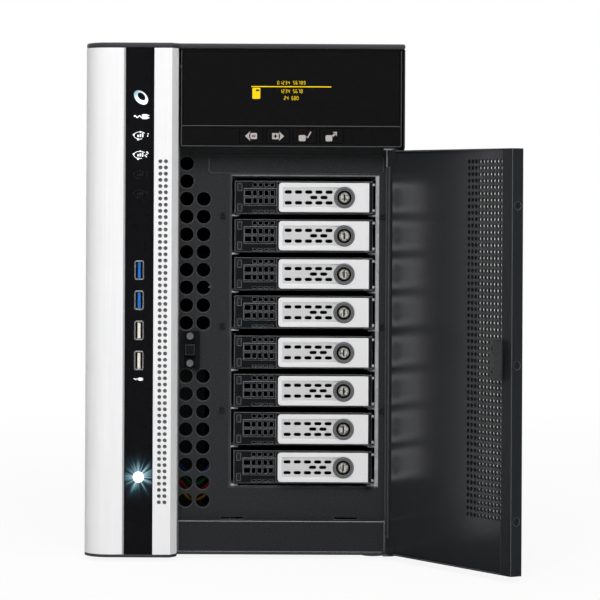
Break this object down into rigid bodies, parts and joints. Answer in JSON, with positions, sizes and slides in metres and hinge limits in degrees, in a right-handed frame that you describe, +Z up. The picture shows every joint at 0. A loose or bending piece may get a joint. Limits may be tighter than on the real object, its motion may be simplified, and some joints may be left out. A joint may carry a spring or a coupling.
{
  "type": "nas enclosure",
  "caption": "Tower enclosure for network storage: hinged perforated front door, sliding drive trays with locking levers, a front column with sockets, and a display with menu keys.",
  "frame": {"origin": "middle of the case's footprint, on the ground under the feet", "axes": "+X to the right and -Y to the front as the user faces the door, +Z up"},
  "size_m": [0.3209, 0.4456, 0.39],
  "materials": {
    "black_steel": "fine-textured black powder coat",
    "black_lid": "satin black paint",
    "cage_steel": "zinc-plated steel sheet",
    "column_silver": "satin brushed, vertical grain",
    "gloss_black": "polished black",
    "display_black": "satin black",
    "display_glass": "smoked, clear surface",
    "key_black": "satin black",
    "button_white": "frosted, lit from behind",
    "door_black": "satin charcoal paint",
    "bright_steel": "bright plated",
    "screw_steel": "plated screw heads",
    "latch_plastic": "dark grey moulding",
    "tray_plastic": "fine-textured charcoal",
    "lever_silver": "silver paint",
    "lock_metal": "plated collar",
    "green_board": "solder mask",
    "zinc_shell": "zinc-plated",
    "fan_plastic": "moulded black",
    "lead_sheath": "coloured insulation",
    "foot_rubber": "moulded"
  },
  "bodies": {
    "case": {"chassis_base": "black_steel", "feet": "foot_rubber", "front_plate": "black_steel", "lower_cover": "black_steel", "drive_cage": "cage_steel", "left_side_panel": "black_steel", "right_side_panel": "black_steel", "rear_panel": "black_steel", "top_cover": "black_lid", "case_screws": "screw_steel", "front_column": "column_silver", "control_strip": "gloss_black", "front_boards": "green_board", "usb_shells": "bright_steel", "display_bezel": "display_black", "display_window": "display_glass", "hinge_brackets": "cage_steel", "touch_latch": "latch_plastic", "backplane": "green_board", "motherboard": "green_board", "rear_sockets": "zinc_shell", "power_supply": "zinc_shell", "fan_frames": "fan_plastic", "wiring_harness": "lead_sheath"},
    "door": {"door_skin": "door_black", "door_liner": "door_black", "door_fittings": "screw_steel"},
    "tray_1": {"tray_1": "tray_plastic"},
    "lever_1": {"lever_1": "lever_silver"},
    "lock_1": {"lock_1": "lock_metal"},
    "tray_2": {"tray_2": "tray_plastic"},
    "lever_2": {"lever_2": "lever_silver"},
    "lock_2": {"lock_2": "lock_metal"},
    "tray_3": {"tray_3": "tray_plastic"},
    "lever_3": {"lever_3": "lever_silver"},
    "lock_3": {"lock_3": "lock_metal"},
    "tray_4": {"tray_4": "tray_plastic"},
    "lever_4": {"lever_4": "lever_silver"},
    "lock_4": {"lock_4": "lock_metal"},
    "tray_5": {"tray_5": "tray_plastic"},
    "lever_5": {"lever_5": "lever_silver"},
    "lock_5": {"lock_5": "lock_metal"},
    "tray_6": {"tray_6": "tray_plastic"},
    "lever_6": {"lever_6": "lever_silver"},
    "lock_6": {"lock_6": "lock_metal"},
    "tray_7": {"tray_7": "tray_plastic"},
    "lever_7": {"lever_7": "lever_silver"},
    "lock_7": {"lock_7": "lock_metal"},
    "tray_8": {"tray_8": "tray_plastic"},
    "lever_8": {"lever_8": "lever_silver"},
    "lock_8": {"lock_8": "lock_metal"},
    "menu_key_1": {"menu_key_1": "key_black"},
    "menu_key_2": {"menu_key_2": "key_black"},
    "menu_key_3": {"menu_key_3": "key_black"},
    "menu_key_4": {"menu_key_4": "key_black"},
    "power_button": {"power_button": "button_white"},
    "latch_plunger": {"latch_plunger": "latch_plastic"},
    "fan_rotor_1": {"fan_rotor_1": "fan_plastic"},
    "fan_rotor_2": {"fan_rotor_2": "fan_plastic"},
    "psu_switch": {"psu_switch": "gloss_black"}
  },
  "joints": [
    {"name": "door_swing", "type": "hinge", "parent": "case", "child": "door", "pos_m": [0.1104, -0.143, 0], "axis": [0, 0, 1], "range_deg": [-122, 0]},
    {"name": "tray_slide_1", "type": "slide", "parent": "case", "child": "tray_1", "axis": [0, -1, 0], "range_m": [0, 0.18]},
    {"name": "tray_slide_2", "type": "slide", "parent": "case", "child": "tray_2", "axis": [0, -1, 0], "range_m": [0, 0.18]},
    {"name": "tray_slide_3", "type": "slide", "parent": "case", "child": "tray_3", "axis": [0, -1, 0], "range_m": [0, 0.18]},
    {"name": "tray_slide_4", "type": "slide", "parent": "case", "child": "tray_4", "axis": [0, -1, 0], "range_m": [0, 0.18]},
    {"name": "tray_slide_5", "type": "slide", "parent": "case", "child": "tray_5", "axis": [0, -1, 0], "range_m": [0, 0.18]},
    {"name": "tray_slide_6", "type": "slide", "parent": "case", "child": "tray_6", "axis": [0, -1, 0], "range_m": [0, 0.18]},
    {"name": "tray_slide_7", "type": "slide", "parent": "case", "child": "tray_7", "axis": [0, -1, 0], "range_m": [0, 0.18]},
    {"name": "tray_slide_8", "type": "slide", "parent": "case", "child": "tray_8", "axis": [0, -1, 0], "range_m": [0, 0.18]},
    {"name": "lever_swing_1", "type": "hinge", "parent": "tray_1", "child": "lever_1", "pos_m": [0.094, -0.1331, 0.27405], "axis": [0, 0, 1], "range_deg": [0, 80]},
    {"name": "lever_swing_2", "type": "hinge", "parent": "tray_2", "child": "lever_2", "pos_m": [0.094, -0.1331, 0.24495], "axis": [0, 0, 1], "range_deg": [0, 80]},
    {"name": "lever_swing_3", "type": "hinge", "parent": "tray_3", "child": "lever_3", "pos_m": [0.094, -0.1331, 0.21585], "axis": [0, 0, 1], "range_deg": [0, 80]},
    {"name": "lever_swing_4", "type": "hinge", "parent": "tray_4", "child": "lever_4", "pos_m": [0.094, -0.1331, 0.18675], "axis": [0, 0, 1], "range_deg": [0, 80]},
    {"name": "lever_swing_5", "type": "hinge", "parent": "tray_5", "child": "lever_5", "pos_m": [0.094, -0.1331, 0.15625], "axis": [0, 0, 1], "range_deg": [0, 80]},
    {"name": "lever_swing_6", "type": "hinge", "parent": "tray_6", "child": "lever_6", "pos_m": [0.094, -0.1331, 0.12715], "axis": [0, 0, 1], "range_deg": [0, 80]},
    {"name": "lever_swing_7", "type": "hinge", "parent": "tray_7", "child": "lever_7", "pos_m": [0.094, -0.1331, 0.09805], "axis": [0, 0, 1], "range_deg": [0, 80]},
    {"name": "lever_swing_8", "type": "hinge", "parent": "tray_8", "child": "lever_8", "pos_m": [0.094, -0.1331, 0.06895], "axis": [0, 0, 1], "range_deg": [0, 80]},
    {"name": "lock_turn_1", "type": "hinge", "parent": "lever_1", "child": "lock_1", "pos_m": [0.0752, -0.1356, 0.27405], "axis": [0, 1, 0], "range_deg": [0, 90]},
    {"name": "lock_turn_2", "type": "hinge", "parent": "lever_2", "child": "lock_2", "pos_m": [0.0752, -0.1356, 0.24495], "axis": [0, 1, 0], "range_deg": [0, 90]},
    {"name": "lock_turn_3", "type": "hinge", "parent": "lever_3", "child": "lock_3", "pos_m": [0.0752, -0.1356, 0.21585], "axis": [0, 1, 0], "range_deg": [0, 90]},
    {"name": "lock_turn_4", "type": "hinge", "parent": "lever_4", "child": "lock_4", "pos_m": [0.0752, -0.1356, 0.18675], "axis": [0, 1, 0], "range_deg": [0, 90]},
    {"name": "lock_turn_5", "type": "hinge", "parent": "lever_5", "child": "lock_5", "pos_m": [0.0752, -0.1356, 0.15625], "axis": [0, 1, 0], "range_deg": [0, 90]},
    {"name": "lock_turn_6", "type": "hinge", "parent": "lever_6", "child": "lock_6", "pos_m": [0.0752, -0.1356, 0.12715], "axis": [0, 1, 0], "range_deg": [0, 90]},
    {"name": "lock_turn_7", "type": "hinge", "parent": "lever_7", "child": "lock_7", "pos_m": [0.0752, -0.1356, 0.09805], "axis": [0, 1, 0], "range_deg": [0, 90]},
    {"name": "lock_turn_8", "type": "hinge", "parent": "lever_8", "child": "lock_8", "pos_m": [0.0752, -0.1356, 0.06895], "axis": [0, 1, 0], "range_deg": [0, 90]},
    {"name": "menu_key_press_1", "type": "slide", "parent": "case", "child": "menu_key_1", "axis": [0, 1, 0], "range_m": [0, 0.0008], "stiffness_N_per_m": 800},
    {"name": "menu_key_press_2", "type": "slide", "parent": "case", "child": "menu_key_2", "axis": [0, 1, 0], "range_m": [0, 0.0008], "stiffness_N_per_m": 800},
    {"name": "menu_key_press_3", "type": "slide", "parent": "case", "child": "menu_key_3", "axis": [0, 1, 0], "range_m": [0, 0.0008], "stiffness_N_per_m": 800},
    {"name": "menu_key_press_4", "type": "slide", "parent": "case", "child": "menu_key_4", "axis": [0, 1, 0], "range_m": [0, 0.0008], "stiffness_N_per_m": 800},
    {"name": "power_press", "type": "slide", "parent": "case", "child": "power_button", "axis": [0, 1, 0], "range_m": [0, 0.0012], "stiffness_N_per_m": 800},
    {"name": "latch_push", "type": "slide", "parent": "case", "child": "latch_plunger", "axis": [0, 1, 0], "range_m": [0, 0.0035], "stiffness_N_per_m": 400},
    {"name": "fan_spin_1", "type": "hinge", "parent": "case", "child": "fan_rotor_1", "pos_m": [0.0444, 0.1588, 0.2235], "axis": [0, 1, 0], "continuous": true},
    {"name": "fan_spin_2", "type": "hinge", "parent": "case", "child": "fan_rotor_2", "pos_m": [0.0444, 0.1588, 0.1195], "axis": [0, 1, 0], "continuous": true},
    {"name": "psu_rocker", "type": "hinge", "parent": "case", "child": "psu_switch", "pos_m": [-0.0929, 0.1578, 0.0572], "axis": [1, 0, 0], "range_deg": [-18, 0]}
  ]
}
